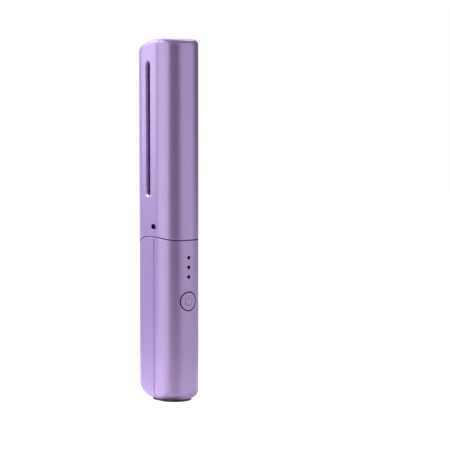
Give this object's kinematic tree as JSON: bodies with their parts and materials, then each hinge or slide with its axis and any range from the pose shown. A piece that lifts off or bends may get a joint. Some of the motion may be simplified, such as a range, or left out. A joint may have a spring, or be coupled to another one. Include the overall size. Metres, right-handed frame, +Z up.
{
  "type": "cordless hair straightener comb",
  "caption": "Slim cordless heated straightening comb with an oval handle, a power button, indicator lights and a sliding protective cap with vent slots.",
  "frame": {"origin": "centre of the bounding box at the base, on the surface that the foot stands on", "axes": "+Z up along the body, towards the cap; -Y faces the power button; +Y is where the teeth point; the two flat sides face -X and +X"},
  "size_m": [0.0272, 0.038, 0.205],
  "materials": {
    "pearl_lavender": "satin pearl paint on moulded plastic",
    "dark_grey_plastic": "fine matt moulding",
    "steel": "plain rolled",
    "black_plastic": "matt",
    "black_coated_aluminium": "black ceramic coating",
    "ceramic_grey": "unglazed ceramic",
    "brass_strip": "thin rolled strip",
    "amber_film": "amber film",
    "glass_bead": "glass bead on enamelled leads",
    "lead_jacket": "white silicone jacket",
    "battery_sleeve": "plain shrink sleeve",
    "nickel": "nickel strip",
    "foam": "closed-cell foam",
    "board_green": "solder mask",
    "led_lens": "clear lens",
    "smoked_lens": "smoked clear moulding"
  },
  "bodies": {
    "handle": {"front_shell": "pearl_lavender", "rear_shell": "pearl_lavender", "comb_body": "pearl_lavender", "spine_cover": "pearl_lavender", "base_plate": "dark_grey_plastic", "usb_socket": "steel", "usb_tongue": "black_plastic", "heating_comb": "black_coated_aluminium", "heater_chips": "ceramic_grey", "electrodes": "brass_strip", "insulation_sheet": "amber_film", "thermistor": "glass_bead", "heater_leads": "lead_jacket", "battery_cell": "battery_sleeve", "battery_tabs": "nickel", "battery_pad": "foam", "main_board": "board_green", "board_parts": "black_plastic", "board_screws": "steel", "comb_screws": "steel", "switch_body": "black_plastic", "leds": "led_lens", "light_pipe": "smoked_lens"},
    "button": {"power_button": "pearl_lavender", "switch_plunger": "black_plastic"},
    "cap": {"cap": "pearl_lavender"}
  },
  "joints": [
    {"name": "cap_slide", "type": "slide", "parent": "handle", "child": "cap", "axis": [0, 0, 1], "range_m": [0, 0.115]},
    {"name": "button_press", "type": "slide", "parent": "handle", "child": "button", "axis": [0, 1, 0], "range_m": [0, 0.0006], "stiffness_N_per_m": 3000}
  ]
}
